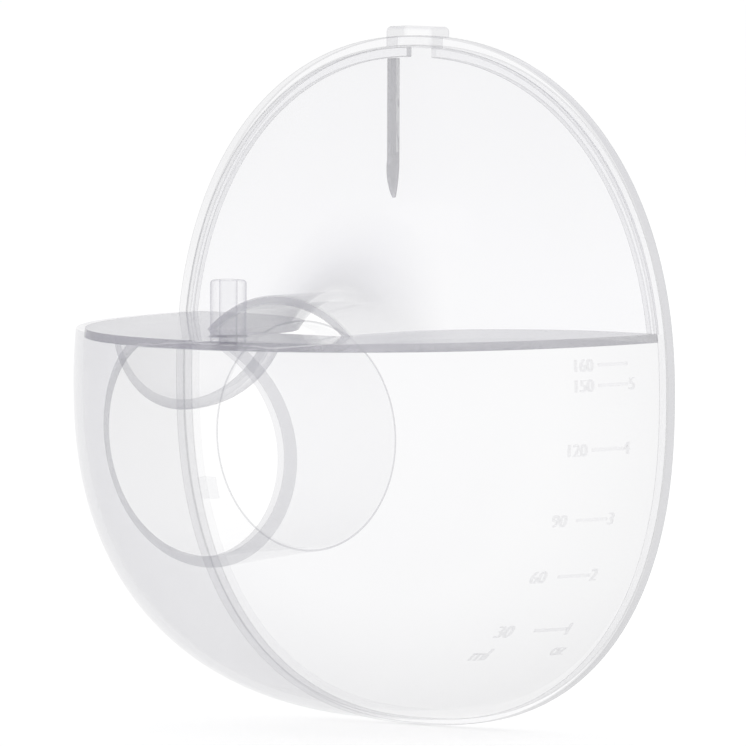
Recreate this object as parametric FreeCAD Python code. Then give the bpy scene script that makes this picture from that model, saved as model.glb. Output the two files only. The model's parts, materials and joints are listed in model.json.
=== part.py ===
"""Clear milk collector cup of a wearable breast pump.

The cup is a deep rounded bowl below a flat deck, closed above the deck by a thin arched wall.
Its back is an egg-shaped rim that the breast shield grips, open below the deck.  A round tunnel
runs back from the bowl's front for the linker, a flared hood leads the shield over it, and the
deck carries the air post of the motor.

Millimetres.  +X is the wearer's left, the bowl faces -Y, +Z is up.  The origin is the middle of
the underside of the box that holds the cup.  The sections below are laid out round the tunnel's
axis, in the plane of the rim's back face, and the finished pieces are moved to the origin.
"""
import FreeCAD, Part
import math
import os

V = FreeCAD.Vector

# --- rim outline, seen from the front: an egg with its widest place at EGG_Z ---
HALF_WIDTH = 55.8        # half of the rim's width
RISE = 61.5              # top of the rim above the widest place
DROP = 60.5              # bottom of the rim below the widest place
EGG_Z = 7.8              # widest place above the tunnel's axis
TOP_FULL = 2.16          # fullness of the egg above the widest place, 2 is an ellipse
LOW_FULL = 2.37          # fullness below it

# --- bowl ---
BOWL_DEPTH = 71.0        # rim's back face to the front of the bowl
DEPTH_Z = 11.0           # height of the deepest place above the tunnel's axis
DEPTH_FULL = 2.3         # fullness of the bowl's side profile
PLAN_FULL = 2.14         # fullness of the bowl's plan
BOWL_WALL = 1.6
FOOT = 0.4               # height lost to the small flat at the bowl's lowest place

# --- rim, ledge and upper wall ---
RIM_DEPTH = 2.4
RIM_WIDTH = 1.9          # rim outside the bowl and the upper wall, at the sides and the top
RIM_LOW_WIDTH = 1.1      # the same at the bottom
LEDGE_WIDTH = 1.85
LEDGE_PROUD = 0.4        # ledge stands forward of the rim's front face
LEDGE_GAP = 5.6          # opening in the ledge at the top
UPPER_WALL = 1.4

# --- deck ---
DECK_Z = 18.5            # top of the deck above the tunnel's axis
DECK_THICK = 1.55

# --- tunnel ---
BORE_R = 19.7
TUNNEL_WALL = 2.1        # at the bowl's front
TUNNEL_LIP = 0.7         # at the free back end, after the mould's draft
TUNNEL_BACK = 34.2       # rim's back face to the tunnel's free end

# --- hood over the tunnel ---
HOOD_R = 23.8
HOOD_Z = 1.3             # hood's axis above the tunnel's axis
HOOD_WALL = 1.7
HOOD_FRONT = 41.8        # rim's back face to the hood's front edge
FLARE = 22.5             # radius of the flare from the hood to the upper wall

# --- air pocket below the deck and the post above it ---
POCKET_R = 19.6
POCKET_Z = 25.9          # centre of the pocket's round floor above the tunnel's axis
POCKET_LENGTH = 15.5     # from the pocket's centre to its closed end
POCKET_INSIDE = 1.5      # pocket's centre behind the inside of the bowl's front
POCKET_WALL = 1.8
POST_R = 3.2
POST_BORE_R = 1.6
POST_HEIGHT = 10.0
POST_FILLET = 0.7
POST_BACK = 55.9         # rim's back face to the post's axis

# --- catch block, guide rib and locating lug ---
TAB_WIDTH = 10.2
TAB_DEPTH = 6.2
TAB_RISE = 1.7           # above the top of the rim
TAB_FILLET = 0.9
RIB_X = -5.9
RIB_THICK = 0.8
RIB_DEPTH = 2.5
RIB_LOW_Z = 39.3         # lower end of the rib above the tunnel's axis
RIB_TAPER = 8.0          # length over which the rib runs out at its lower end
RIB_BOW = 0.3            # place of the middle of the rib's rounded end, as a share of its size
RIB_CLEAR = 0.1          # below the ledge
LUG_HEIGHT = 3.8
LUG_WIDTH = 2.2
LUG_Z = -12.9

# --- raised lines of the scale ---
MARK_HEIGHTS = (13.9, 10.3, -1.0, -13.4, -23.4, -33.2)   # above the tunnel's axis
MARK_BACK = (10.8, 10.8, 12.0, 13.6, 14.2, 13.5)         # back end of each line, from the rim's back face
MARK_LENGTH = 7.0
MARK_TALL = 0.6
MARK_PROUD = 0.35

SECTIONS = 15            # horizontal sections through the bowl
POINTS = 25              # points along a section or along one side of the egg
CLEAR = 200.0            # larger than the whole cup, for cutting blocks
PAST = 1.0               # how far a cutting shape runs past what it cuts
TOUCH = 0.01             # two lengths closer than this are the same

EGG_TOP = EGG_Z + RISE
EGG_LOW = EGG_Z - DROP
DECK_UNDER = DECK_Z - DECK_THICK
WALL_FACE = -UPPER_WALL
RIM_FACE = -RIM_DEPTH
LEDGE_FACE = RIM_FACE - LEDGE_PROUD
BOWL_LOW = EGG_LOW + RIM_LOW_WIDTH


def full(share, power):
    """Ordinate of a superellipse quarter of radius one at the abscissa share."""
    return max(0.0, 1.0 - abs(share) ** power) ** (1.0 / power)


def half_width(z, inset=0.0):
    """Half of the bowl's width at height z, measured inset inside its outer face."""
    wide = HALF_WIDTH - RIM_WIDTH - inset
    if z > EGG_Z:
        return wide * full((z - EGG_Z) / (RISE - RIM_WIDTH - inset), TOP_FULL)
    return wide * full((EGG_Z - z) / (DROP - RIM_LOW_WIDTH - inset), LOW_FULL)


def depth(z, inset=0.0):
    """Distance from the rim's back face to the bowl's front at height z."""
    reach = DEPTH_Z - BOWL_LOW - inset
    return (BOWL_DEPTH - inset) * full((DEPTH_Z - z) / reach, DEPTH_FULL)


def plan_point(z, angle, inset=0.0):
    """Point of the bowl's section at height z; angle runs from the left side to the right."""
    c, s = math.cos(angle), math.sin(angle)
    x = half_width(z, inset) * math.copysign(abs(c) ** (2.0 / PLAN_FULL), c)
    y = -depth(z, inset) * abs(s) ** (2.0 / PLAN_FULL)
    return V(x, y, z)


def smooth_edge(points):
    """One smooth edge through the points."""
    curve = Part.BSplineCurve()
    curve.interpolate(points)
    return curve.toShape()


def section_wire(z, inset, back):
    """Closed section of the bowl at height z, with its straight side at y = back."""
    angles = [math.pi * k / (POINTS - 1) for k in range(POINTS)]
    points = [plan_point(z, angle, inset) for angle in angles]
    front = smooth_edge(points)
    first, last = points[0], points[-1]
    if back == 0.0:
        return Part.Wire([front, Part.makeLine(last, first)])
    corners = [last, V(last.x, back, z), V(first.x, back, z), first]
    sides = [Part.makeLine(a, b) for a, b in zip(corners, corners[1:])]
    return Part.Wire([front] + sides)


def bowl_body(inset=0.0, top=DECK_Z, back=0.0):
    """Solid bowl shape, inset from the outer one, from its lowest flat up to the height top."""
    low = BOWL_LOW + inset + FOOT
    wires = []
    for k in range(SECTIONS):
        rise = 1.0 - math.cos(0.5 * math.pi * k / (SECTIONS - 1))
        wires.append(section_wire(low + (top - low) * rise, inset, back))
    return Part.makeLoft(wires, True, False)


def egg_points(inset, low_inset, y):
    """Points round the egg outline in the plane at y, inset from the rim's, more or less at the bottom."""
    points = []
    turns = 4 * (POINTS - 1)
    for k in range(turns):
        angle = 2.0 * math.pi * k / turns
        c, s = math.cos(angle), math.sin(angle)
        tall, power = (RISE - inset, TOP_FULL) if c >= 0 else (DROP - low_inset, LOW_FULL)
        x = (HALF_WIDTH - inset) * math.copysign(abs(s) ** (2.0 / power), s)
        z = EGG_Z + tall * math.copysign(abs(c) ** (2.0 / power), c)
        points.append(V(x, y, z))
    return points


def egg_plate(inset, low_inset, front, back):
    """Solid plate with the egg's outline between y = front and y = back."""
    curve = Part.BSplineCurve()
    curve.interpolate(Points=egg_points(inset, low_inset, back), PeriodicFlag=True)
    face = Part.Face(Part.Wire([curve.toShape()]))
    return face.extrude(V(0, front - back, 0))


def block(x, y, z):
    """Box from three pairs of limits."""
    return Part.makeBox(x[1] - x[0], y[1] - y[0], z[1] - z[0], V(x[0], y[0], z[0]))


def rod(radius, front, back, z=0.0):
    """Cylinder along Y between y = front and y = back, its axis at height z."""
    return Part.makeCylinder(radius, back - front, V(0, front, z), V(0, 1, 0))


def ball(inset):
    """Ellipsoid of the air pocket, inset from its outer face."""
    unit = Part.makeSphere(1.0, V(0, 0, 0), V(0, 0, 1), -90, 90, 360)
    shape = FreeCAD.Matrix()
    shape.scale(POCKET_R - inset, POCKET_LENGTH - inset, POCKET_R - inset)
    grown = unit.transformGeometry(shape)
    grown.translate(V(0, -POCKET_CENTRE, POCKET_Z))
    return grown


TO_ORIGIN = V(0, depth(DECK_UNDER) / 2, -EGG_LOW)
POCKET_CENTRE = depth(0.0) - BOWL_WALL - POCKET_INSIDE
below_deck = block((-CLEAR, CLEAR), (-CLEAR, CLEAR), (-CLEAR, DECK_UNDER))
above_deck = block((-CLEAR, CLEAR), (-CLEAR, CLEAR), (DECK_Z, CLEAR))
bowl_outside = bowl_body(0.0, DECK_Z)
bowl_inside = bowl_body(BOWL_WALL, DECK_Z + PAST, PAST)


def hood_profile(outer):
    """Closed half profile of the hood's outer or inner body, to be turned round its axis."""
    wall = 0.0 if outer else HOOD_WALL
    mouth = WALL_FACE if outer else PAST
    bend = FLARE + wall
    radius = HOOD_R - wall
    start = WALL_FACE - FLARE
    wide = radius + bend
    face = start + bend
    sag = bend * (1 - math.sqrt(0.5))
    mid = V(radius + sag, face - sag, HOOD_Z)
    front = -HOOD_FRONT if outer else -HOOD_FRONT - PAST
    edges = [
        Part.makeLine(V(0, front, HOOD_Z), V(radius, front, HOOD_Z)),
        Part.makeLine(V(radius, front, HOOD_Z), V(radius, start, HOOD_Z)),
        Part.Arc(V(radius, start, HOOD_Z), mid, V(wide, face, HOOD_Z)).toShape(),
    ]
    end = V(wide, face, HOOD_Z)
    if not outer:
        edges.append(Part.makeLine(end, V(wide, mouth, HOOD_Z)))
        end = V(wide, mouth, HOOD_Z)
    edges.append(Part.makeLine(end, V(0, end.y, HOOD_Z)))
    edges.append(Part.makeLine(V(0, end.y, HOOD_Z), V(0, front, HOOD_Z)))
    return Part.Face(Part.Wire(edges))


def turned(profile):
    """Solid of revolution about the hood's axis."""
    return profile.revolve(V(0, 0, HOOD_Z), V(0, 1, 0), 360)


hood_outer = turned(hood_profile(True))
shield_space = turned(hood_profile(False))


def front_bowl():
    """Bowl wall up to the deck's top, pierced by the tunnel's mouth."""
    mouth = rod(BORE_R, -CLEAR, -TUNNEL_BACK).common(below_deck)
    return bowl_outside.cut(bowl_inside).cut(mouth)


def deck():
    """Flat shelf inside the bowl's edge, open behind for the shield and at the post's bore."""
    slab = block((-CLEAR, CLEAR), (-CLEAR, 0.0), (DECK_UNDER, DECK_Z))
    post_hole = Part.makeCylinder(POST_BORE_R, CLEAR, V(0, -POST_BACK, -CLEAR / 2))
    return slab.common(bowl_inside).cut(shield_space).cut(post_hole)


def rim_band():
    """Egg-shaped ring round the bowl and the upper wall, which the shield grips."""
    opening = egg_plate(RIM_WIDTH, RIM_LOW_WIDTH, RIM_FACE - PAST, PAST)
    return egg_plate(0.0, 0.0, RIM_FACE, 0.0).cut(opening)


def ledge(side):
    """Raised step inside the rim above the deck, on the side -1 or 1."""
    ring = egg_plate(RIM_WIDTH, RIM_WIDTH, LEDGE_FACE, WALL_FACE)
    inset = RIM_WIDTH + LEDGE_WIDTH
    ring = ring.cut(egg_plate(inset, inset, LEDGE_FACE - PAST, PAST))
    span = (LEDGE_GAP / 2, CLEAR) if side > 0 else (-CLEAR, -LEDGE_GAP / 2)
    return ring.common(block(span, (-CLEAR, CLEAR), (DECK_Z, CLEAR)))


def upper_wall():
    """Arched wall on the deck, open where the shield's funnel passes."""
    plate = egg_plate(RIM_WIDTH, RIM_WIDTH, WALL_FACE, 0.0).common(above_deck)
    return plate.cut(rod(HOOD_R + FLARE, -CLEAR, CLEAR, HOOD_Z))


def tunnel_hood():
    """Flared half tube over the tunnel, standing on the deck."""
    shell = hood_outer.fuse(rod(HOOD_R + FLARE, WALL_FACE, 0.0, HOOD_Z))
    return shell.cut(shield_space).common(above_deck).removeSplitter()


def tunnel_tube():
    """Round tunnel from the bowl's front wall to its free back end, a little narrower there."""
    length = BOWL_DEPTH - TUNNEL_BACK
    back, front = V(0, -TUNNEL_BACK, 0), V(0, -1, 0)
    outside = Part.makeCone(BORE_R + TUNNEL_LIP, BORE_R + TUNNEL_WALL, length, back, front)
    tube = outside.cut(rod(BORE_R, -CLEAR, 0.0)).common(bowl_inside)
    under_shelf = block((-CLEAR, CLEAR), (-CLEAR, -HOOD_FRONT), (DECK_UNDER, CLEAR))
    return tube.cut(under_shelf).cut(ball(0.0))


def air_pocket():
    """Round-bottomed pocket below the deck that joins the post's bore to the tunnel's mouth."""
    shell = ball(0.0).cut(ball(POCKET_WALL))
    return shell.common(below_deck).common(bowl_inside)


def air_post():
    """Hollow upright nozzle on the deck."""
    foot = V(0, -POST_BACK, DECK_Z)
    post = Part.makeCylinder(POST_R, POST_HEIGHT, foot)
    top = [e for e in post.Edges if e.BoundBox.ZMin > DECK_Z + POST_HEIGHT - TOUCH]
    rounded = post.makeFillet(POST_FILLET, top)
    return rounded.cut(Part.makeCylinder(POST_BORE_R, CLEAR, foot - V(0, 0, PAST)))


def top_tab():
    """Catch block on top of the rim."""
    low = EGG_TOP - RIM_WIDTH
    body = block((-TAB_WIDTH / 2, TAB_WIDTH / 2), (-TAB_DEPTH, 0.0), (low, EGG_TOP + TAB_RISE))
    corners = [e for e in body.Edges if e.BoundBox.ZMin > EGG_TOP or e.BoundBox.ZLength > TOUCH]
    return body.makeFillet(TAB_FILLET, corners).cut(egg_plate(0.0, 0.0, RIM_FACE, PAST))


def guide_rib():
    """Thin upright fin on the upper wall, run out to nothing at its lower end."""
    inset = RIM_WIDTH + LEDGE_WIDTH + RIB_CLEAR
    top_z = EGG_Z + (RISE - inset) * full(RIB_X / (HALF_WIDTH - inset), TOP_FULL)
    front = WALL_FACE - RIB_DEPTH
    start = V(RIB_X - RIB_THICK / 2, WALL_FACE, RIB_LOW_Z)
    bend = V(start.x, front, RIB_LOW_Z + RIB_TAPER)
    middle = V(start.x, front + RIB_DEPTH * RIB_BOW, RIB_LOW_Z + RIB_TAPER * RIB_BOW)
    edges = [
        Part.Arc(start, middle, bend).toShape(),
        Part.makeLine(bend, V(start.x, front, top_z)),
        Part.makeLine(V(start.x, front, top_z), V(start.x, WALL_FACE, top_z)),
        Part.makeLine(V(start.x, WALL_FACE, top_z), start),
    ]
    return Part.Face(Part.Wire(edges)).extrude(V(RIB_THICK, 0, 0)).cut(hood_outer)


def locating_lug():
    """Small step on the inside of the bowl's back edge, on its left side only."""
    height = (LUG_Z - LUG_HEIGHT / 2, LUG_Z + LUG_HEIGHT / 2)
    slab = block((-CLEAR, 0.0), (RIM_FACE, 0.0), height)
    return slab.common(bowl_inside).cut(bowl_body(BOWL_WALL + LUG_WIDTH, DECK_UNDER, PAST))


def scale_lines():
    """Short raised lines of the scale on the bowl's right side."""
    skin = bowl_body(-MARK_PROUD, DECK_UNDER).cut(bowl_outside)
    bars = []
    for z, back in zip(MARK_HEIGHTS, MARK_BACK):
        long = (-back - MARK_LENGTH, -back)
        bars.append(block((0.0, CLEAR), long, (z - MARK_TALL / 2, z + MARK_TALL / 2)))
    return Part.makeCompound([skin.common(bar) for bar in bars])


PIECES = {
    "front_bowl": front_bowl,
    "deck": deck,
    "rim_band": rim_band,
    "ledge_left": lambda: ledge(-1),
    "ledge_right": lambda: ledge(1),
    "upper_wall": upper_wall,
    "tunnel_hood": tunnel_hood,
    "tunnel_tube": tunnel_tube,
    "air_pocket": air_pocket,
    "air_post": air_post,
    "top_tab": top_tab,
    "guide_rib": guide_rib,
    "locating_lug": locating_lug,
    "scale_lines": scale_lines,
}

os.makedirs("parts", exist_ok=True)
for name, make in PIECES.items():
    piece = make()
    piece.translate(TO_ORIGIN)
    piece.exportStep("parts/" + name + ".step")
    print(name, "solids", len(piece.Solids), "valid", piece.isValid(), "volume", round(piece.Volume, 1))
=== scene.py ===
"""Visual model of the clear milk collector cup of a wearable breast pump.

Every smooth wall of the cup is a surface worked out from the same superellipse formulas as the solids
it stands for.  The surfaces are laid out in cup places: x across, y forward as a negative distance
from the rim's back face, z above the tunnel's axis.  The last step moves them into the frame.
"""

import json
import logging
import math
from dataclasses import dataclass, replace
from enum import Enum, IntEnum

import bmesh
import bpy
import numpy as np
from mathutils import Matrix, Vector

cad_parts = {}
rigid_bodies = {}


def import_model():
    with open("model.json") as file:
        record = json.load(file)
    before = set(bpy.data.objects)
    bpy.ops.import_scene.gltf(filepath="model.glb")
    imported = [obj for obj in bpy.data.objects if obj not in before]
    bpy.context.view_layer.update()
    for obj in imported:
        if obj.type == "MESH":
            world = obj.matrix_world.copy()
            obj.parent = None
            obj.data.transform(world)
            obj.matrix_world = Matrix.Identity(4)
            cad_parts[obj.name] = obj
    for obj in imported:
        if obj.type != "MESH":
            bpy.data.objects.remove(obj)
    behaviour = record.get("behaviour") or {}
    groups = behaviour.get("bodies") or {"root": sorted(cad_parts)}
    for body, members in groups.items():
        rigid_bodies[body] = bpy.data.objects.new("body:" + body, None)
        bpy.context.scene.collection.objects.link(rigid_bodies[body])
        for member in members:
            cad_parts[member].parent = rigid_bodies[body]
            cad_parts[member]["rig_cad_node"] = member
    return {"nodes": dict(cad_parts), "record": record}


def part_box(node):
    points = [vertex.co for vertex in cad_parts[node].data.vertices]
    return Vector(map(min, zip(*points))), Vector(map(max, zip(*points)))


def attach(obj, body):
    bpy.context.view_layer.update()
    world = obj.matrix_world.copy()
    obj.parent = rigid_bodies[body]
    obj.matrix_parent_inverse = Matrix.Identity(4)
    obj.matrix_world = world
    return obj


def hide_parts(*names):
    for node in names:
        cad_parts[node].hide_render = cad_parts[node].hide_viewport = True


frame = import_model()

LOG = logging.getLogger("cup")
MM = 0.001
TINY = 1e-9
FULL_TURN = 2.0 * math.pi
QUARTER_TURN = 0.5 * math.pi
HALVINGS = 50
Points = np.ndarray
Pair = tuple[float, float]
Triple = tuple[float, float, float]
Socket = bpy.types.NodeSocket


def mount_place(name: str) -> Vector:
    """Place of a mount of the record."""
    return next(Vector(m["pos_m"]) for m in frame["record"]["mounts"] if m["name"] == name)


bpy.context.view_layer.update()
BACK_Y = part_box("rim_band")[1].y
AXIS_Z = mount_place("tunnel_end").z
FRAME_SHIFT = np.array([0.0, BACK_Y, AXIS_Z])


# ---------------------------------------------------------------------------------------------
# formulas
# ---------------------------------------------------------------------------------------------


def full(share: Points, power: float) -> Points:
    """Ordinate of a superellipse quarter of radius one: (1 - |share|^power)^(1 / power)."""
    return np.clip(1.0 - np.abs(share) ** power, 0.0, None) ** (1.0 / power)


def signed_power(value: Points, power: float) -> Points:
    """|value|^power with the sign of value."""
    return np.sign(value) * np.abs(value) ** power


@dataclass(frozen=True)
class Egg:
    """Egg outline: an upper and a lower half superellipse that share their widest place."""

    half_width: float
    rise: float
    drop: float
    middle: float
    top_power: float
    low_power: float

    def shrunk(self, side: float, low: float) -> "Egg":
        """The outline moved in by side at the sides and the top, and by low at the bottom."""
        return replace(self, half_width=self.half_width - side, rise=self.rise - side, drop=self.drop - low)

    def width_at(self, z: Points) -> Points:
        """Half width at a height: the half width times the superellipse ordinate of the height's share.

        Args:
            z: Heights.

        Returns:
            One half width for each height.
        """
        upper = full((z - self.middle) / self.rise, self.top_power)
        lower = full((z - self.middle) / self.drop, self.low_power)
        return self.half_width * np.where(z > self.middle, upper, lower)

    def point(self, angle: Points) -> tuple[Points, Points]:
        """Places on the outline: the angle's sine and cosine raised to 2 / power, times the half sizes.

        Args:
            angle: Angles from the top, clockwise.

        Returns:
            x and z of the places.
        """
        c, s = np.cos(angle), np.sin(angle)
        power = np.where(c >= 0.0, self.top_power, self.low_power)
        tall = np.where(c >= 0.0, self.rise, self.drop)
        x = self.half_width * signed_power(s, 2.0 / power)
        return x, self.middle + tall * signed_power(c, 2.0 / power)

    def reach(self, angle: Points, centre: float) -> Points:
        """Distance from (0, centre) to the outline, found by halving.

        Args:
            angle: Directions from the +X side, anticlockwise.
            centre: Height of the point that the directions leave from.

        Returns:
            One distance for each direction.
        """
        near = np.zeros_like(angle)
        far = np.full_like(angle, 2.0 * (self.rise + self.drop))
        for _ in range(HALVINGS):
            mid = 0.5 * (near + far)
            x, z = mid * np.cos(angle), centre + mid * np.sin(angle)
            tall = np.where(z > self.middle, self.rise, self.drop)
            power = np.where(z > self.middle, self.top_power, self.low_power)
            inside = np.abs(x / self.half_width) ** power + np.abs((z - self.middle) / tall) ** power < 1.0
            near, far = np.where(inside, mid, near), np.where(inside, far, mid)
        return near


@dataclass(frozen=True)
class BowlForm:
    """Outside of the bowl: horizontal superellipse sections that follow an egg and a side profile."""

    outline: Egg
    depth: float = 71.0 * MM
    depth_middle: float = 11.0 * MM
    depth_power: float = 2.3
    plan_power: float = 2.14

    def depth_at(self, z: Points) -> Points:
        """Depth at height z, a superellipse ordinate that is nothing at the bowl's lowest place."""
        reach = self.depth_middle - self.outline.middle + self.outline.drop
        return self.depth * full((self.depth_middle - z) / reach, self.depth_power)

    def front(self, x: Points, z: Points) -> Points:
        """y of the surface at (x, z): the depth times the superellipse ordinate of the width's share."""
        wide = np.maximum(self.outline.width_at(z), TINY)
        return -self.depth_at(z) * full(np.minimum(np.abs(x) / wide, 1.0), self.plan_power)

    def side(self, y: Points, z: Points) -> Points:
        """x of the right side at (y, z), the same section solved for the width."""
        deep = np.maximum(self.depth_at(z), TINY)
        return self.outline.width_at(z) * full(np.minimum(np.abs(y) / deep, 1.0), self.plan_power)

    def inner(self, wall: float) -> "BowlForm":
        """The inside of the bowl, a wall's thickness further in."""
        return replace(self, outline=self.outline.shrunk(wall, wall), depth=self.depth - wall)


RIM = Egg(
    half_width=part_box("rim_band")[1].x,
    rise=61.5 * MM,
    drop=60.5 * MM,
    middle=7.8 * MM,
    top_power=2.16,
    low_power=2.37,
)
RIM_WIDTH = 1.9 * MM
RIM_LOW_WIDTH = 1.1 * MM
RIM_DEPTH = 2.4 * MM
WALL = 1.6 * MM
UPPER_WALL = 1.4 * MM
CONTACT_GAP = 0.04 * MM  # keeps the faces of two touching pieces from lying in one place
DECK_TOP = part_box("deck")[1].z - AXIS_Z
DECK_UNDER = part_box("deck")[0].z - AXIS_Z
BORE = 19.7 * MM
HOOD_FRONT = 41.8 * MM
BOWL = BowlForm(RIM.shrunk(RIM_WIDTH, RIM_LOW_WIDTH))
BOWL_INSIDE = BOWL.inner(WALL)


# ---------------------------------------------------------------------------------------------
# meshes
# ---------------------------------------------------------------------------------------------


class Face(IntEnum):
    """What a face is, which is also the place of its material on the piece."""

    WALL = 0
    EDGE = 1
    END = 2
    WELD = 3
    INSIDE = 4
    LIP = 5


class Skin:
    """Collects grids of points and joins them into one closed mesh."""

    def __init__(self, name: str) -> None:
        """Starts an empty skin.

        Args:
            name: The name of the piece that it becomes.
        """
        self.name = name
        self.points: list[Points] = []
        self.quads: list[Points] = []
        self.kinds: list[Points] = []
        self.count = 0

    def add(self, grid: Points, wrap: bool = False, kind: Face | Points = Face.WALL) -> None:
        """Adds a grid of quads.

        Args:
            grid: Points of shape (rows, columns, 3), in cup places.
            wrap: Whether the last column joins the first.
            kind: What the quads are, for all of them or for each column.
        """
        rows, columns = grid.shape[:2]
        index = np.arange(rows * columns).reshape(rows, columns) + self.count
        if wrap:
            index = np.concatenate([index, index[:, :1]], axis=1)
        around = [index[:-1, :-1], index[1:, :-1], index[1:, 1:], index[:-1, 1:]]
        self.quads.append(np.stack(around, axis=-1).reshape(-1, 4))
        self.kinds.append(np.broadcast_to(kind, around[0].shape).ravel())
        self.points.append(grid.reshape(-1, 3))
        self.count += rows * columns

    def strip(self, first: Points, second: Points, wrap: bool = False, kind: Face = Face.WALL) -> None:
        """Adds one row of quads between two lines of points."""
        self.add(np.stack([first, second]), wrap, kind)

    def build(self, edge: float = 0.0) -> bpy.types.Object:
        """Makes the object, in the frame's place, with its doubles merged and its faces outward.

        Args:
            edge: Width of the rounding of its edges, or nothing.

        Returns:
            The new object, linked to the scene.
        """
        places = np.concatenate(self.points) + FRAME_SHIFT
        mesh = bpy.data.meshes.new(self.name)
        mesh.from_pydata(places, [], np.concatenate(self.quads))
        mesh.polygons.foreach_set("material_index", np.concatenate(self.kinds).astype(np.int32))
        clean(mesh)
        made = bpy.data.objects.new(self.name, mesh)
        bpy.context.scene.collection.objects.link(made)
        if edge:
            rounding = made.modifiers.new("edge", "BEVEL")
            rounding.width = edge
            rounding.segments = 2
            rounding.limit_method = "WEIGHT"
            rounding.harden_normals = True
            rounding.material = Face.EDGE
        return made


def clean(mesh: bpy.types.Mesh, merge: float = 2e-6, sharp: float = 35.0, corner: float = 40.0) -> None:
    """Merges doubled points, turns faces outward, marks the corners to round off and smooths the rest.

    Args:
        mesh: The mesh, changed in place.
        merge: Distance within which points are one.
        sharp: Angle in degrees above which shading breaks.
        corner: Angle in degrees above which an edge is rounded off, unless it lies on a weld.
    """
    work = bmesh.new()
    work.from_mesh(mesh)
    bmesh.ops.remove_doubles(work, verts=work.verts, dist=merge)
    bmesh.ops.dissolve_degenerate(work, edges=work.edges, dist=merge)
    bmesh.ops.recalc_face_normals(work, faces=work.faces)
    weight = work.edges.layers.float.new("bevel_weight_edge")
    for edge in work.edges:
        welded = any(face.material_index == Face.WELD for face in edge.link_faces)
        edge[weight] = float(not welded and edge.calc_face_angle(0.0) > math.radians(corner))
    work.to_mesh(mesh)
    work.free()
    mesh.polygons.foreach_set("use_smooth", np.ones(len(mesh.polygons), bool))
    mesh.set_sharp_from_angle(angle=math.radians(sharp))


def stack(x: Points, y: Points, z: Points) -> Points:
    """Joins three arrays, stretched to one shape, into points."""
    return np.stack(np.broadcast_arrays(x, y, z), axis=-1)


def rounded_loop(width: float, height: float, radius: float, steps: int = 4) -> tuple[Points, Points, Points]:
    """Closed rounded rectangle from (0, 0) to (width, height), with four arcs of steps points.

    Args:
        width: Size along the first axis.
        height: Size along the second axis.
        radius: Radius of the corners.
        steps: Points in each corner's arc.

    Returns:
        Both coordinates of the points, and the kind of the faces that leave each of them.
    """
    turn = np.linspace(0.0, QUARTER_TURN, steps)
    starts = np.arange(4) * QUARTER_TURN
    angle = starts[:, None] + turn[None, :]
    middle_x = np.array([width - radius, radius, radius, width - radius])[:, None]
    middle_y = np.array([height - radius, height - radius, radius, radius])[:, None]
    kind = np.tile([Face.EDGE] * (steps - 1) + [Face.WALL], 4)
    return (middle_x + radius * np.cos(angle)).ravel(), (middle_y + radius * np.sin(angle)).ravel(), kind


# ---------------------------------------------------------------------------------------------
# finishes
# ---------------------------------------------------------------------------------------------


def new_group(
    name: str, inputs: dict[str, tuple[str, object]], outputs: dict[str, str]
) -> bpy.types.NodeTree:
    """Empty shader group with named sockets.

    Args:
        name: The group's name.
        inputs: For each input, its socket type and its value at rest.
        outputs: For each output, its socket type.

    Returns:
        The group, with its Group Input and Group Output nodes in it.
    """
    tree = bpy.data.node_groups.new(name, "ShaderNodeTree")
    for label, (kind, value) in inputs.items():
        socket = tree.interface.new_socket(name=label, in_out="INPUT", socket_type=kind)
        if value is not None:
            socket.default_value = value
    for label, kind in outputs.items():
        tree.interface.new_socket(name=label, in_out="OUTPUT", socket_type=kind)
    tree.nodes.new("NodeGroupInput")
    tree.nodes.new("NodeGroupOutput")
    return tree


def math_node(tree: bpy.types.NodeTree, operation: str, *values: object) -> Socket:
    """Adds a Math node.

    Args:
        tree: The tree it goes in.
        operation: The node's operation.
        values: A socket to link, or a number, for each input.

    Returns:
        The node's output.
    """
    node = tree.nodes.new("ShaderNodeMath")
    node.operation = operation
    for socket, value in zip(node.inputs, values):
        if isinstance(value, Socket):
            tree.links.new(value, socket)
        else:
            socket.default_value = value
    return node.outputs[0]


def seen_ray(tree: bpy.types.NodeTree) -> Socket:
    """Adds the test for a ray that shows the background.

    Args:
        tree: The tree it goes in.

    Returns:
        One for rays from the camera, off a glossy face or through a clear one, and zero for others.
    """
    path = tree.nodes.new("ShaderNodeLightPath")
    seen = math_node(tree, "MAXIMUM", path.outputs["Is Camera Ray"], path.outputs["Is Glossy Ray"])
    return math_node(tree, "MAXIMUM", seen, path.outputs["Is Transmission Ray"])


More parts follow.
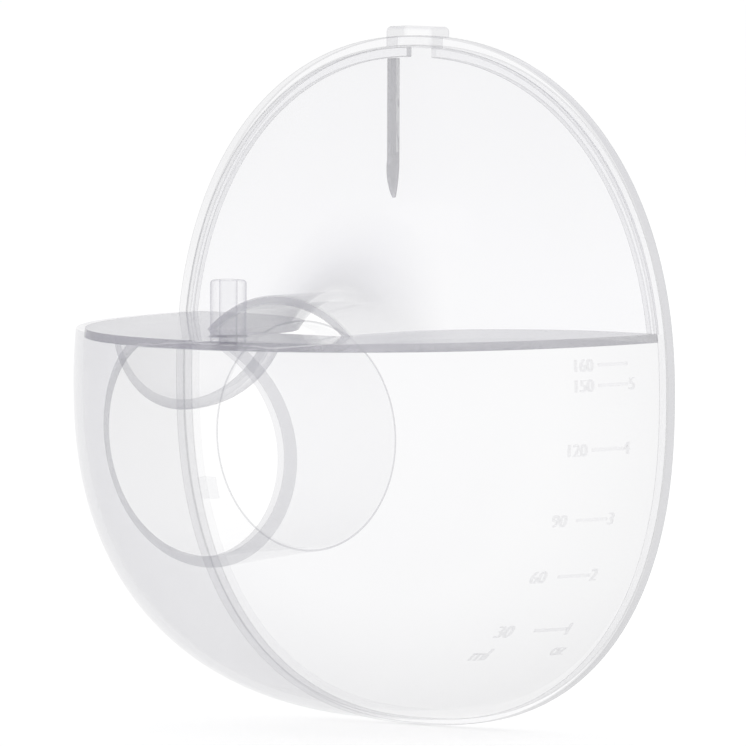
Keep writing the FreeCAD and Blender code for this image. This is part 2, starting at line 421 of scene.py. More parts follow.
def make_mould_flow(finer: float = 4.0, fine_share: float = 0.3) -> bpy.types.NodeTree:
    """Group with the slow thickness variation and faint flow marks of moulded clear plastic.

    Args:
        finer: How many times finer the second noise is than the first.
        fine_share: How much of the second noise is added to the first.

    Returns:
        The group. Its factor is one plus the amount times the distance of both noises from their mean.
    """
    tree = new_group(
        "mould flow",
        {
            "Place": ("NodeSocketVector", None),
            "Scale": ("NodeSocketFloat", 30.0),
            "Amount": ("NodeSocketFloat", 0.1),
        },
        {"Factor": "NodeSocketFloat", "Height": "NodeSocketFloat"},
    )
    given, result = tree.nodes["Group Input"], tree.nodes["Group Output"]
    wide = tree.nodes.new("ShaderNodeTexNoise")
    wide.inputs["Detail"].default_value = 1.0
    fine = tree.nodes.new("ShaderNodeTexNoise")
    fine.inputs["Detail"].default_value = 3.0
    tree.links.new(given.outputs["Place"], wide.inputs["Vector"])
    tree.links.new(given.outputs["Place"], fine.inputs["Vector"])
    tree.links.new(given.outputs["Scale"], wide.inputs["Scale"])
    tree.links.new(math_node(tree, "MULTIPLY", given.outputs["Scale"], finer), fine.inputs["Scale"])
    both = math_node(tree, "MULTIPLY_ADD", fine.outputs[0], fine_share, wide.outputs[0])
    centred = math_node(tree, "SUBTRACT", both, 0.5 * (1.0 + fine_share))
    factor = math_node(tree, "MULTIPLY_ADD", centred, given.outputs["Amount"], 1.0)
    tree.links.new(factor, result.inputs["Factor"])
    tree.links.new(wide.outputs[0], result.inputs["Height"])
    return tree


def make_edge_stock() -> bpy.types.NodeTree:
    """Group that masks the faces that look along a wall's thickness, where clear stock looks darker.

    Returns:
        The group. Its mask is one less the size of the facing's product with the wall's normal.
    """
    tree = new_group(
        "edge stock",
        {"Facing": ("NodeSocketVector", None), "Wall normal": ("NodeSocketVector", (0.0, 1.0, 0.0))},
        {"Mask": "NodeSocketFloat"},
    )
    given, result = tree.nodes["Group Input"], tree.nodes["Group Output"]
    dot = tree.nodes.new("ShaderNodeVectorMath")
    dot.operation = "DOT_PRODUCT"
    tree.links.new(given.outputs["Facing"], dot.inputs[0])
    tree.links.new(given.outputs["Wall normal"], dot.inputs[1])
    along = math_node(tree, "ABSOLUTE", dot.outputs["Value"])
    capped = math_node(tree, "MINIMUM", along, 1.0)
    tree.links.new(math_node(tree, "SUBTRACT", 1.0, capped), result.inputs["Mask"])
    return tree


MOULD_FLOW = make_mould_flow()
EDGE_STOCK = make_edge_stock()


@dataclass(frozen=True)
class ClearPlastic:
    """Thin clear plastic: almost nothing seen square on, greyer where a wall is seen on edge.

    The cover grows from square_on to on_edge with the power of the share that the facing has gone from
    start to end.  Faces along the wall's thickness get edge_stock more, the mould's flow varies it all,
    and a wall's far faces keep only the share from_within.
    """

    name: str
    square_on: float
    on_edge: float
    power: float
    start: float = 0.0
    end: float = 1.0
    edge_stock: float = 0.0
    wall_normal: Triple = (0.0, 1.0, 0.0)
    tone: Triple = (0.56, 0.55, 0.69)
    deep: Triple = (0.42, 0.415, 0.47)
    from_within: float = 1.0
    variation: float = 0.25
    scale: float = 28.0
    roughness: float = 0.07
    ior: float = 1.46
    waviness: float = 0.05
    wave_height: float = 2.0 * MM

    def masks(self, tree: bpy.types.NodeTree) -> tuple[bpy.types.bpy_prop_collection, Socket]:
        """Adds the two shared groups with this finish's values.

        Args:
            tree: The material's tree.

        Returns:
            The outputs of the mould's flow, and the mask of the faces along the wall's thickness.
        """
        place = tree.nodes.new("ShaderNodeTexCoord")
        flow = tree.nodes.new("ShaderNodeGroup")
        flow.node_tree = MOULD_FLOW
        flow.inputs["Scale"].default_value = self.scale
        flow.inputs["Amount"].default_value = self.variation
        tree.links.new(place.outputs["Object"], flow.inputs["Place"])
        stock = tree.nodes.new("ShaderNodeGroup")
        stock.node_tree = EDGE_STOCK
        stock.inputs["Wall normal"].default_value = self.wall_normal
        tree.links.new(place.outputs["Normal"], stock.inputs["Facing"])
        return flow.outputs, stock.outputs["Mask"]

    def turned(self, tree: bpy.types.NodeTree) -> Socket:
        """Adds how far a face is turned away, as the power of the share gone from start to end.

        Args:
            tree: The material's tree.

        Returns:
            The share, from zero to one.
        """
        weight = tree.nodes.new("ShaderNodeLayerWeight")
        weight.inputs["Blend"].default_value = 0.5
        reach = tree.nodes.new("ShaderNodeMapRange")
        reach.inputs["From Min"].default_value = self.start
        reach.inputs["From Max"].default_value = self.end
        tree.links.new(weight.outputs["Facing"], reach.inputs["Value"])
        return math_node(tree, "POWER", reach.outputs["Result"], self.power)

    def cover(self, tree: bpy.types.NodeTree, turned: Socket, stock: Socket, factor: Socket) -> Socket:
        """Adds the cover.

        Args:
            tree: The material's tree.
            turned: How far a face is turned away.
            stock: The mask of the faces along the wall's thickness.
            factor: The mould's variation.

        Returns:
            The cover, at most one.
        """
        cover = math_node(tree, "MULTIPLY_ADD", turned, self.on_edge - self.square_on, self.square_on)
        cover = math_node(tree, "MULTIPLY_ADD", stock, self.edge_stock, cover)
        cover = math_node(tree, "MULTIPLY", cover, factor)
        side = tree.nodes.new("ShaderNodeNewGeometry")
        kept = math_node(tree, "MULTIPLY_ADD", side.outputs["Backfacing"], self.from_within - 1.0, 1.0)
        cover = math_node(tree, "MULTIPLY", cover, kept)
        return math_node(tree, "MINIMUM", cover, 1.0)

    def make(self) -> bpy.types.Material:
        """Builds the material.

        Returns:
            The material, with the colour going from tone to deep as the cover grows.
        """
        material = bpy.data.materials.new(self.name)
        material.use_nodes = True
        tree = material.node_tree
        tree.nodes.clear()
        shader = tree.nodes.new("ShaderNodeBsdfPrincipled")
        output = tree.nodes.new("ShaderNodeOutputMaterial")
        tree.links.new(shader.outputs[0], output.inputs["Surface"])
        shader.inputs["IOR"].default_value = self.ior
        flow, stock = self.masks(tree)
        turned = self.turned(tree)
        tree.links.new(self.cover(tree, turned, stock, flow["Factor"]), shader.inputs["Alpha"])
        colour = tree.nodes.new("ShaderNodeMix")
        colour.data_type = "RGBA"
        colour.inputs["A"].default_value = (*self.tone, 1.0)
        colour.inputs["B"].default_value = (*self.deep, 1.0)
        tree.links.new(math_node(tree, "MAXIMUM", turned, stock), colour.inputs["Factor"])
        tree.links.new(colour.outputs["Result"], shader.inputs["Base Color"])
        rough = math_node(tree, "MULTIPLY", flow["Factor"], self.roughness)
        tree.links.new(rough, shader.inputs["Roughness"])
        bump = tree.nodes.new("ShaderNodeBump")
        bump.inputs["Strength"].default_value = self.waviness
        bump.inputs["Distance"].default_value = self.wave_height
        tree.links.new(flow["Height"], bump.inputs["Height"])
        tree.links.new(bump.outputs["Normal"], shader.inputs["Normal"])
        return material


class Finish(Enum):
    """The finishes of the cup's walls and of their cut, rounded and welded faces."""

    BOWL = ClearPlastic("clear bowl", square_on=0.085, on_edge=0.285, power=1.0, start=0.2)
    UPPER = ClearPlastic("clear upper wall", square_on=0.075, on_edge=0.30, power=1.3, start=0.27, end=0.80)
    DECK = ClearPlastic(
        "clear deck",
        square_on=0.20,
        on_edge=0.95,
        power=4.0,
        edge_stock=0.12,
        wall_normal=(0.0, 0.0, 1.0),
        deep=(0.27, 0.265, 0.31),
    )
    RIM = ClearPlastic("clear rim", square_on=0.04, on_edge=0.15, power=2.0)
    LEDGE = ClearPlastic("clear ledge", square_on=0.03, on_edge=0.20, power=2.0, edge_stock=0.10)
    CATCH = ClearPlastic("clear catch", square_on=0.02, on_edge=0.28, power=2.0, edge_stock=0.14)
    TUNNEL = ClearPlastic("clear tunnel", square_on=0.02, on_edge=0.12, power=2.5)
    POCKET = ClearPlastic("clear pocket", square_on=0.03, on_edge=0.50, power=2.5)
    POST = ClearPlastic("clear post", square_on=0.03, on_edge=0.80, power=3.0)
    MARK = ClearPlastic(
        "raised marks",
        square_on=0.03,
        on_edge=0.12,
        power=1.5,
        edge_stock=0.04,
        wall_normal=(1.0, 0.0, 0.0),
    )
    EDGE = ClearPlastic(
        "clear edge",
        square_on=0.24,
        on_edge=0.34,
        power=2.0,
        tone=(0.42, 0.42, 0.46),
        deep=(0.32, 0.32, 0.36),
    )
    END = ClearPlastic("clear cut end", square_on=0.31, on_edge=0.38, power=2.0, tone=(0.47, 0.47, 0.53))
    WELD = ClearPlastic("welded face", square_on=0.01, on_edge=0.02, power=2.0)
    INSIDE = ClearPlastic("clear inside", square_on=0.06, on_edge=0.08, power=3.0)
    LIP = ClearPlastic(
        "clear thick lip",
        square_on=0.43,
        on_edge=0.49,
        power=2.0,
        tone=(0.46, 0.46, 0.51),
        from_within=0.3,
    )


MATERIALS = {finish: finish.value.make() for finish in Finish}
FACE_FINISHES = (Finish.EDGE, Finish.END, Finish.WELD, Finish.INSIDE, Finish.LIP)


def dress(piece: bpy.types.Object, finish: Finish, *nodes: str) -> bpy.types.Object:
    """Gives a piece its finish and body, hides the solids that it stands for, and reports it.

    Args:
        piece: A new piece, or a node of the frame.
        finish: The finish it takes.
        nodes: The nodes that a new piece stands for.

    Returns:
        The same piece.
    """
    if "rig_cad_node" in piece:
        piece.data.materials.clear()
        piece.data.materials.append(MATERIALS[finish])
    else:
        for worn in (finish, *FACE_FINISHES):
            piece.data.materials.append(MATERIALS[worn])
        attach(piece, "root")
        if nodes:
            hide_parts(*nodes)
    LOG.info("%s: %s, %d points", piece.name, finish.value.name, len(piece.data.vertices))
    return piece


# ---------------------------------------------------------------------------------------------
# sub-assemblies
# ---------------------------------------------------------------------------------------------


@dataclass
class Bowl:
    """The bowl's wall, open behind, with the tunnel's mouth in front."""

    form: BowlForm = BOWL
    wall: float = WALL
    edge: float = 0.15 * MM
    rows: int = 80
    turns: int = 240
    top_steps: int = 30

    def angles(self, form: BowlForm) -> Points:
        """Directions round the tunnel's axis, with one at each corner of the deck and of the mouth.

        Along the deck they aim at points whose x follows the section's superellipse, so that they
        crowd towards its ends; below the deck they are even.

        Args:
            form: The bowl's outside or inside.

        Returns:
            Directions from the +X side, anticlockwise, once round.
        """
        wide = form.outline.width_at(np.array(DECK_TOP))
        flat = math.asin(DECK_UNDER / BORE)
        inner_x = DECK_TOP / math.tan(flat)
        last = math.acos((inner_x / wide) ** (form.plan_power / 2))
        share = np.linspace(0.0, last, self.top_steps)
        right = np.arctan2(DECK_TOP, wide * np.cos(share) ** (2 / form.plan_power))
        middle = np.linspace(flat, math.pi - flat, self.top_steps)
        below = np.linspace(math.pi - right[0], FULL_TURN + right[0], self.turns)
        return np.concatenate([right[:-1], middle[:-1], math.pi - right[::-1][:-1], below[:-1]])

    def surface(self, form: BowlForm) -> Points:
        """Grid from the mouth's edge to the outline.

        Row t lies at the share sin(t pi / 2) of the way out, so rows crowd at the steep outline, and
        y comes from the bowl's formula.

        Args:
            form: The bowl's outside or inside.

        Returns:
            A closed grid whose first row is the mouth's edge.
        """
        angle = self.angles(form)
        rising = np.maximum(np.sin(angle), TINY)
        start = np.minimum(BORE, DECK_UNDER / rising)
        end = np.minimum(form.outline.reach(angle, 0.0), DECK_TOP / rising)
        share = np.sin(np.linspace(0.0, QUARTER_TURN, self.rows))[:, None]
        radius = start + (end - start) * share
        x, z = radius * np.cos(angle), radius * np.sin(angle)
        return stack(x, form.front(x, z), z)

    def build(self) -> None:
        """Makes and dresses the bowl."""
        outer, inner = self.surface(self.form), self.surface(self.form.inner(self.wall))
        skin = Skin("bowl_wall")
        skin.add(outer, wrap=True)
        skin.add(inner, wrap=True, kind=Face.INSIDE)
        skin.strip(outer[0], inner[0], wrap=True)
        skin.strip(outer[-1], inner[-1], wrap=True, kind=Face.WELD)
        dress(skin.build(self.edge), Finish.BOWL, "front_bowl")


@dataclass
class Rim:
    """The rim's band and the two raised ledges inside it."""

    depth: float = RIM_DEPTH
    round_off: float = 0.22 * MM
    ledge_width: float = 1.85 * MM
    ledge_proud: float = 0.4 * MM
    ledge_gap: float = 5.6 * MM
    ledge_round: float = 0.2 * MM
    turns: int = 360
    table: int = 4000

    def band(self) -> None:
        """Rounded rectangle carried round the egg between the rim's outline and the bowl's.

        The loop's last face is the band's outer side, where the whole ring is seen through its width.
        """
        angle = np.linspace(0.0, FULL_TURN, self.turns, endpoint=False)[:, None]
        share, back, kind = rounded_loop(RIM_WIDTH - CONTACT_GAP, self.depth, self.round_off)
        kind[-1] = Face.LIP
        outer, inner = RIM.point(angle), BOWL.outline.point(angle)
        part = (share + CONTACT_GAP) / RIM_WIDTH
        x = inner[0] + (outer[0] - inner[0]) * part
        z = inner[1] + (outer[1] - inner[1]) * part
        grid = stack(x, -back[None, :], z)
        skin = Skin("rim_ring")
        skin.add(np.concatenate([grid, grid[:1]]), wrap=True, kind=kind)
        dress(skin.build(), Finish.RIM, "rim_band")

    def limits(self, egg: Egg) -> Pair:
        """Angles from the top at which an outline leaves the gap and meets the deck, from a fine table.

        Args:
            egg: The outline.

        Returns:
            Both angles.
        """
        angle = np.linspace(0.0, QUARTER_TURN, self.table)
        x, z = egg.point(angle)
        return float(np.interp(self.ledge_gap / 2, x, angle)), float(np.interp(-DECK_TOP, -z, angle))

    def ledge(self, side: int) -> None:
        """Rounded rectangle carried from the gap at the top to the deck, between two outlines.

        Args:
            side: -1 for the left ledge, 1 for the right one.
        """
        depth = self.depth + self.ledge_proud - UPPER_WALL
        width = self.ledge_width - CONTACT_GAP
        share, back, kind = rounded_loop(width, depth - CONTACT_GAP, self.ledge_round)
        steps = np.linspace(0.0, 1.0, self.turns // 3)[:, None]
        lines = []
        for inset in (RIM_WIDTH + self.ledge_width, RIM_WIDTH):
            egg = RIM.shrunk(inset, inset)
            start, end = self.limits(egg)
            lines.append(egg.point(start + (end - start) * steps))
        inner, outer = lines
        part = share / self.ledge_width
        x = side * (inner[0] + (outer[0] - inner[0]) * part)
        z = inner[1] + (outer[1] - inner[1]) * part
        grid = stack(x, -UPPER_WALL - CONTACT_GAP - back[None, :], z)
        skin = Skin("rim_ledge_right" if side > 0 else "rim_ledge_left")
        skin.add(grid, wrap=True, kind=kind)
        for end_row in (grid[0], grid[-1]):
            centre = np.broadcast_to(end_row.mean(axis=0), end_row.shape)
            skin.strip(end_row, centre, wrap=True, kind=Face.LIP)
        dress(skin.build(), Finish.LEDGE, "ledge_right" if side > 0 else "ledge_left")

    def build(self) -> None:
        """Makes and dresses the band and both ledges."""
        self.band()
        for side in (-1, 1):
            self.ledge(side)


@dataclass
class ArchedWall:
    """The thin wall above the deck, drawn forward in one sweep into the hood over the tunnel."""

    hood_radius: float = 23.8 * MM
    hood_axis: float = 1.3 * MM
    hood_wall: float = 1.7 * MM
    flare: float = 22.5 * MM
    thick: float = UPPER_WALL
    edge: float = 0.25 * MM
    columns: int = 161
    straight_rows: int = 10
    flare_rows: int = 26
    plate_rows: int = 16

    def turned(self, radius: Points, y: Points) -> Points:
        """Rows turned round the hood's axis, from the deck on the right to the deck on the left.

        Args:
            radius: Each row's radius.
            y: Each row's place along the axis.

        Returns:
            A grid with the angle along its columns.
        """
        low = np.arcsin((DECK_TOP - self.hood_axis) / radius)[:, None]
        share = np.linspace(0.0, 1.0, self.columns)[None, :]
        angle = low + (math.pi - 2 * low) * share
        x = radius[:, None] * np.cos(angle)
        return stack(x, y[:, None], self.hood_axis + radius[:, None] * np.sin(angle))

    def profile(self, wall: float) -> tuple[Points, Points]:
        """Radius and y along the hood, a straight run and then a quarter arc out to the wall.

        Args:
            wall: Nothing for the outside, or the hood's thickness for the inside.

        Returns:
            Radii and y values of the rows, ending where the arc meets the wall's face.
        """
        radius, bend = self.hood_radius - wall, self.flare + wall
        start, face = -self.thick - self.flare, 0.0 if wall else -self.thick
        last = math.asin(min(1.0, (face - start) / bend))
        turn = np.linspace(0.0, last, self.flare_rows)
        run = np.linspace(-HOOD_FRONT, start, self.straight_rows)[:-1]
        radii = np.concatenate([np.full(run.size, radius), radius + bend * (1.0 - np.cos(turn))])
        return radii, np.concatenate([run, start + bend * np.sin(turn)])

    def surface(self, wall: float) -> Points:
        """Turned rows, and rows shared out evenly between the last of them and the outline.

        Args:
            wall: Nothing for the outside, or the hood's thickness for the inside.

        Returns:
            A grid from the hood's front to the wall's outline.
        """
        radii, y = self.profile(wall)
        hood = self.turned(radii, y)
        egg = RIM.shrunk(RIM_WIDTH, RIM_WIDTH)
        wide = float(egg.width_at(np.array(DECK_TOP)))
        low = math.atan2(DECK_TOP - self.hood_axis, wide)
        angle = np.linspace(low, math.pi - low, self.columns)
        reach = egg.reach(angle, self.hood_axis)
        rim = stack(reach * np.cos(angle), y[-1], self.hood_axis + reach * np.sin(angle))
        share = np.linspace(0.0, 1.0, self.plate_rows)[1:, None, None]
        plate = hood[-1][None] + (rim - hood[-1])[None] * share
        return np.concatenate([hood, plate])

    def build(self) -> None:
        """Makes and dresses the wall with its hood."""
        outer, inner = self.surface(0.0), self.surface(self.hood_wall)
        skin = Skin("arched_wall_and_hood")
        skin.add(outer)
        skin.add(inner)
        skin.strip(outer[0], inner[0], kind=Face.LIP)
        skin.strip(outer[-1], inner[-1], kind=Face.WELD)
        for side in (0, -1):
            skin.strip(outer[:, side], inner[:, side], kind=Face.WELD)
        dress(skin.build(self.edge), Finish.UPPER, "upper_wall", "tunnel_hood")


@dataclass
class Tunnel:
    """The round tunnel from the bowl's front to its free back end."""

    bore: float = BORE
    wall: float = 2.1 * MM
    lip: float = 0.7 * MM
    back: float = 34.2 * MM
    rows: int = 24
    lip_rows: int = 8
    turns: int = 200
    crown_steps: int = 40

    def lower_columns(self, radius: Points) -> Points:
        """Angles below the deck's underside, evenly spaced from one side to the other.

        Args:
            radius: Each row's radius.

        Returns:
            One row of angles for each radius.
        """
        cut = np.arcsin(DECK_UNDER / radius)[:, None]
        share = np.linspace(0.0, 1.0, self.turns)[None, :]
        return (math.pi - cut) + (math.pi + 2 * cut) * share

    def surface(self, front: float, back: float) -> tuple[Points, Points, Points]:
        """One wall face of the tunnel, from its radius at the bowl to its radius at the free end.

        Args:
            front: Radius at the bowl.
            back: Radius at the free end.

        Returns:
            The run below the deck, the same columns along the free end, and the free end's crown.
        """
        length = BOWL.depth - self.back
        there = back + (front - back) * (HOOD_FRONT - self.back) / length
        radius = np.linspace(front, there, self.rows)
        angle = self.lower_columns(radius)
        x, z = radius[:, None] * np.cos(angle), radius[:, None] * np.sin(angle)
        start = BOWL_INSIDE.front(x[:1], z[:1])
        share = np.linspace(0.0, 1.0, self.rows)[:, None]
        run = stack(x, start + (-HOOD_FRONT - start) * share, z)
        end_radius = np.linspace(there, back, self.lip_rows)[:, None]
        y = np.linspace(-HOOD_FRONT, -self.back, self.lip_rows)[:, None]
        low = self.lower_columns(np.array([there]))
        cut = math.asin(DECK_UNDER / there)
        high = np.linspace(cut, math.pi - cut, self.crown_steps)[None, :]
        free = stack(end_radius * np.cos(low), y, end_radius * np.sin(low))
        crown = stack(end_radius * np.cos(high), y, end_radius * np.sin(high))
        return run, free, crown

    def build(self) -> None:
        """Makes and dresses the tunnel."""
        outer = self.surface(self.bore + self.wall, self.bore + self.lip)
        inner = self.surface(self.bore, self.bore)
        skin = Skin("tunnel_wall")
        for grid in (*outer, *inner):
            skin.add(grid)
        run, free, crown = zip(outer, inner)
        skin.strip(run[0][0], run[1][0], kind=Face.END)
        for column in (0, -1):
            skin.strip(run[0][:, column], run[1][:, column], kind=Face.WELD)
        skin.strip(crown[0][0], crown[1][0], kind=Face.WELD)
        for grids in (free, crown):
            middle = 0.5 * (grids[0][-1] + grids[1][-1])
            skin.strip(grids[0][-1], middle, kind=Face.END)
            skin.strip(middle, grids[1][-1])
        dress(skin.build(), Finish.TUNNEL, "tunnel_tube")


@dataclass
class Pocket:
    """Round-bottomed air pocket below the deck, open at the bowl's front."""

    radius: float = 19.6 * MM
    centre: float = 25.9 * MM
    length: float = 15.5 * MM
    inside: float = 1.5 * MM
    wall: float = 1.8 * MM
    front_pull: int = 8
    rows: int = 30
    columns: int = 61

    def surface(self, inset: float) -> Points:
        """Lower part of an ellipsoid below the deck, its front rows drawn out to the bowl's inside.

        A row at the share t of the length moves by (1 - t)^front_pull of the way to the bowl.

        Args:
            inset: Nothing for the outside, or the pocket's thickness for the inside.

        Returns:
            A grid from the bowl to the pocket's back.
        """
        radius, length = self.radius - inset, self.length - inset
        drop = self.centre - DECK_UNDER
        last = math.sqrt(1.0 - (drop / radius) ** 2)
        share = last * np.sin(np.linspace(0.0, QUARTER_TURN, self.rows))
        section = radius * np.sqrt(1.0 - share**2)
        half = np.arccos(np.clip(drop / section, -1.0, 1.0))[:, None]
        angle = half * np.linspace(-1.0, 1.0, self.columns)[None, :]
        x, z = section[:, None] * np.sin(angle), self.centre - section[:, None] * np.cos(angle)
        middle = -(float(BOWL.depth_at(np.array(0.0))) - WALL - self.inside)
        front = BOWL_INSIDE.front(x[:1], z[:1])
        pull = (1.0 - np.linspace(0.0, 1.0, self.rows)[:, None]) ** self.front_pull
        return stack(x, middle + length * share[:, None] + (front - middle) * pull, z)

    def build(self) -> None:
        """Makes and dresses the pocket."""
        outer, inner = self.surface(0.0), self.surface(self.wall)
        skin = Skin("air_pocket_wall")
        skin.add(outer)
        skin.add(inner, kind=Face.INSIDE)
        skin.strip(outer[0], inner[0], kind=Face.END)
        for column in (0, -1):
            skin.strip(outer[:, column], inner[:, column], kind=Face.WELD)
        dress(skin.build(), Finish.POCKET, "air_pocket")


@dataclass
class Post:
    """Hollow air post on the deck, turned round its own axis."""

    radius: float = 3.2 * MM
    bore: float = 1.6 * MM
    height: float = 10.0 * MM
    back: float = 55.9 * MM
    round_top: float = 0.7 * MM
    foot: float = 0.5 * MM
    round_bore: float = 0.2 * MM
    arc_steps: int = 8
    turns: int = 72

    def profile(self) -> tuple[Points, Points]:
        """Closed half section: a flared foot, the outside, a rounded top and the bore.

        Returns:
            Radii and heights above the deck.
        """
        turn = np.linspace(0.0, QUARTER_TURN, self.arc_steps)
        foot_r = self.radius + self.foot * (1.0 - np.sin(turn))
        foot_z = self.foot * (1.0 - np.cos(turn))
        top_r = self.radius - self.round_top * (1.0 - np.cos(turn))
        top_z = self.height - self.round_top * (1.0 - np.sin(turn))
        lip_r = self.bore + self.round_bore * (1.0 - np.sin(turn))
        lip_z = self.height - self.round_bore * (1.0 - np.cos(turn))
        radius = np.concatenate([foot_r, top_r, lip_r, [self.bore]])
        return radius, np.concatenate([foot_z, top_z, lip_z, [0.0]])

    def build(self) -> None:
        """Makes and dresses the post."""
        radius, z = self.profile()
        angle = np.linspace(0.0, FULL_TURN, self.turns, endpoint=False)[:, None]
        x, y = radius * np.cos(angle), -self.back + radius * np.sin(angle)
        grid = stack(x, y, DECK_TOP + z)
        skin = Skin("air_post_body")
        skin.add(np.concatenate([grid, grid[:1]]), wrap=True)
        dress(skin.build(), Finish.POST, "air_post")


@dataclass
class Scale:
    """Raised figures beside the raised lines on the bowl's right side."""

    heights_mm: tuple[float, ...] = (13.9, 10.3, -1.0, -13.4, -23.4, -33.2)
    backs_mm: tuple[float, ...] = (10.8, 10.8, 12.0, 13.6, 14.2, 13.5)
    shifts_mm: tuple[float, ...] = (0.4, 0.4, 0.4, 1.4, 1.8, 3.6)
    line: float = 7.0 * MM
    left: tuple[str, ...] = ("160", "150", "120", "90", "60", "30")
    right: tuple[str, ...] = ("", "5", "4", "3", "2", "1")
    units: tuple[str, str] = ("ml", "oz")
    unit_drop: float = 4.2 * MM
    unit_shift: float = 4.6 * MM
    size: float = 3.2 * MM
    thinned: float = 0.008
    gap: float = 0.7 * MM
    proud: float = 0.28 * MM

    def figure(self, name: str, words: str, y: float, z: float, before: bool) -> None:
        """One raised figure, laid on the bowl by the section's formula.

        Args:
            name: The piece's name.
            words: What it says.
            y: Cup place of its end next to the line.
            z: Cup height of its middle.
            before: Whether it ends at y rather than starts there.
        """
        curve = bpy.data.curves.new(name, "FONT")
        curve.body = words
        curve.size = self.size
        curve.extrude = self.proud
        curve.offset = -self.size * self.thinned
        curve.resolution_u = 4
        holder = bpy.data.objects.new(name, curve)
        mesh = bpy.data.meshes.new_from_object(holder)
        bpy.data.objects.remove(holder)
        count = len(mesh.vertices)
        flat = np.zeros(count * 3)
        mesh.vertices.foreach_get("co", flat)
        flat = flat.reshape(-1, 3)
        low, high = flat.min(axis=0), flat.max(axis=0)
        along = flat[:, 0] - (high[0] if before else low[0])
        place_y = y + along
        place_z = z + flat[:, 1] - 0.5 * (low[1] + high[1])
        lift = np.where(flat[:, 2] > 0.0, self.proud, -self.proud)
        placed = stack(BOWL.side(place_y, place_z) + lift, place_y, place_z) + FRAME_SHIFT
        mesh.vertices.foreach_set("co", placed.ravel())
        clean(mesh)
        piece = bpy.data.objects.new(name, mesh)
        bpy.context.scene.collection.objects.link(piece)
        dress(piece, Finish.MARK)

    def build(self) -> None:
        """Makes and dresses the figures at both ends of each line, and the units below the last."""
        rows = zip(self.left, self.right, self.heights_mm, self.backs_mm, self.shifts_mm)
        for left, right, height, back, shift in rows:
            z, end = height * MM, -back * MM
            start = end - self.line - self.gap
            self.figure("figure_ml_" + left, left, start - shift * MM, z, before=True)
            if right:
                self.figure("figure_oz_" + right, right, end + self.gap, z, before=False)
        low = z - self.unit_drop
        self.figure("figure_unit_ml", self.units[0], start - self.unit_shift, low, before=True)
        self.figure("figure_unit_oz", self.units[1], end + self.gap, low, before=False)


class FixedParts:
    """Nodes of the frame whose own shape is shown, with a finish of the cup."""

    finishes: dict[str, Finish] = {
        "deck": Finish.DECK,
        "top_tab": Finish.CATCH,
        "guide_rib": Finish.DECK,
        "locating_lug": Finish.RIM,
        "scale_lines": Finish.MARK,
    }

    def build(self) -> None:
        """Dresses the nodes."""
        for name, finish in self.finishes.items():
            dress(frame["nodes"][name], finish)


# ---------------------------------------------------------------------------------------------
# studio
# ---------------------------------------------------------------------------------------------


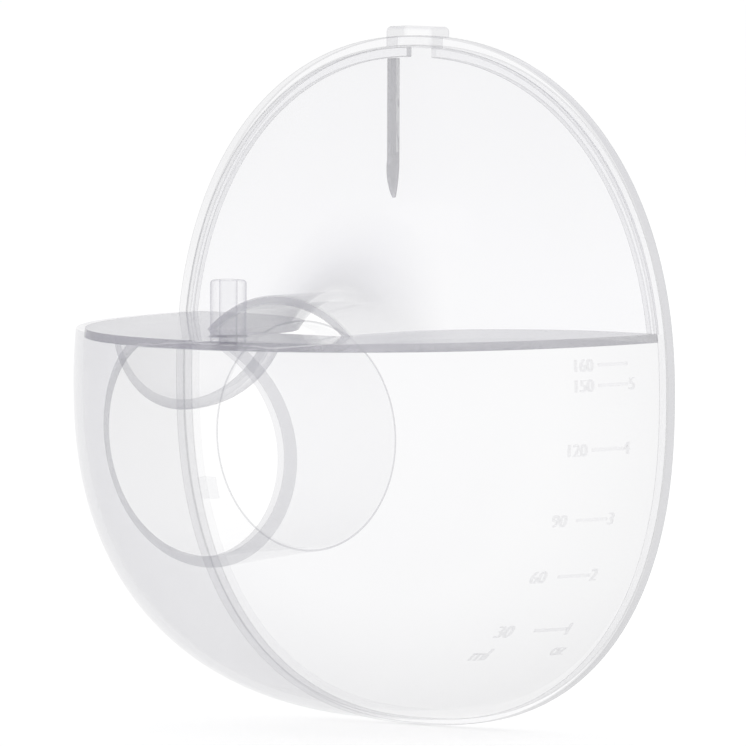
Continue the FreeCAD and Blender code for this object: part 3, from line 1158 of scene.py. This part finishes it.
@dataclass
class Studio:
    """Plain pale floor, white surroundings, soft lamps and the camera."""

    azimuth: float = 38.94
    elevation: float = 3.52
    roll: float = 0.15
    distance: float = 4.603
    lens: float = 1265.4
    aim: Triple = (15.76 * MM, -35.0 * MM, 11.76 * MM)
    surround: float = 0.80
    floor_size: float = 8.0
    floor_drop: float = 0.2 * MM
    floor_tone: float = 0.5
    floor_lift: float = 0.61
    floor_turns: int = 64
    far: float = 100.0
    layers: int = 48

    def world(self) -> None:
        """White where it is seen, a plain level where it lights the cup."""
        world = bpy.data.worlds.new("surroundings")
        bpy.context.scene.world = world
        world.use_nodes = True
        tree = world.node_tree
        tree.nodes.clear()
        output = tree.nodes.new("ShaderNodeOutputWorld")
        shade = tree.nodes.new("ShaderNodeBackground")
        level = math_node(tree, "MULTIPLY_ADD", seen_ray(tree), 1.0 - self.surround, self.surround)
        tree.links.new(level, shade.inputs["Strength"])
        tree.links.new(shade.outputs[0], output.inputs["Surface"])
        shade.inputs["Color"].default_value = (1.0, 1.0, 1.0, 1.0)

    def floor(self) -> None:
        """Round pale floor just under the cup, lifted to white where it is seen."""
        angle = np.linspace(0.0, FULL_TURN, self.floor_turns, endpoint=False)
        ring = stack(self.floor_size * np.cos(angle), self.floor_size * np.sin(angle), -self.floor_drop)
        mesh = bpy.data.meshes.new("floor")
        mesh.from_pydata(ring, [], [list(range(self.floor_turns))])
        floor = bpy.data.objects.new("floor", mesh)
        bpy.context.scene.collection.objects.link(floor)
        material = bpy.data.materials.new("pale floor")
        material.use_nodes = True
        shader = material.node_tree.nodes["Principled BSDF"]
        shader.inputs["Base Color"].default_value = (self.floor_tone, self.floor_tone, self.floor_tone, 1.0)
        shader.inputs["Roughness"].default_value = 1.0
        shader.inputs["Specular IOR Level"].default_value = 0.0
        shader.inputs["Emission Color"].default_value = (1.0, 1.0, 1.0, 1.0)
        lift = math_node(material.node_tree, "MULTIPLY", seen_ray(material.node_tree), self.floor_lift)
        material.node_tree.links.new(lift, shader.inputs["Emission Strength"])
        mesh.materials.append(material)

    def lamp(self, name: str, place: Triple, size: float, power: float) -> None:
        """Adds a square area lamp that looks at the tunnel's axis.

        Args:
            name: The lamp's name.
            place: Where it hangs.
            size: Its side.
            power: Its power in watts.
        """
        data = bpy.data.lights.new(name, "AREA")
        data.size = size
        data.energy = power
        lamp = bpy.data.objects.new(name, data)
        lamp.location = place
        aim = Vector((0.0, 0.0, AXIS_Z)) - lamp.location
        lamp.rotation_euler = aim.to_track_quat("-Z", "Y").to_euler()
        bpy.context.scene.collection.objects.link(lamp)

    def camera(self) -> None:
        """Long lens from the front right, turned by a small roll about its own axis."""
        data = bpy.data.cameras.new("camera")
        data.lens = self.lens
        data.clip_end = self.far
        camera = bpy.data.objects.new("camera", data)
        bpy.context.scene.collection.objects.link(camera)
        bpy.context.scene.camera = camera
        a, e, r = (math.radians(v) for v in (self.azimuth, self.elevation, self.roll))
        back = Vector((math.sin(a) * math.cos(e), -math.cos(a) * math.cos(e), math.sin(e)))
        right = Vector((math.cos(a), math.sin(a), 0.0))
        up = back.cross(right)
        turned_right = right * math.cos(r) + up * math.sin(r)
        turned_up = up * math.cos(r) - right * math.sin(r)
        place = Vector(self.aim) + Vector(FRAME_SHIFT) + back * self.distance
        columns = Matrix((turned_right, turned_up, back)).transposed()
        camera.matrix_world = Matrix.Translation(place) @ columns.to_4x4()

    def build(self) -> None:
        """Sets up the whole studio."""
        scene = bpy.context.scene
        scene.view_settings.view_transform = "Standard"
        scene.cycles.transparent_max_bounces = self.layers
        self.world()
        self.floor()
        self.lamp("key", (-0.9, -0.9, 1.1), 0.7, 2.0)
        self.lamp("fill", (1.2, -0.6, 0.7), 0.8, 1.0)
        self.lamp("back", (-0.3, 1.3, 0.9), 0.8, 1.2)
        self.camera()


def main() -> None:
    """Builds the cup and the studio."""
    logging.basicConfig(level=logging.INFO, format="%(name)s: %(message)s")
    for part in (Bowl, Rim, ArchedWall, Tunnel, Pocket, Post, Scale, FixedParts, Studio):
        part().build()


if __name__ == "__main__":
    main()
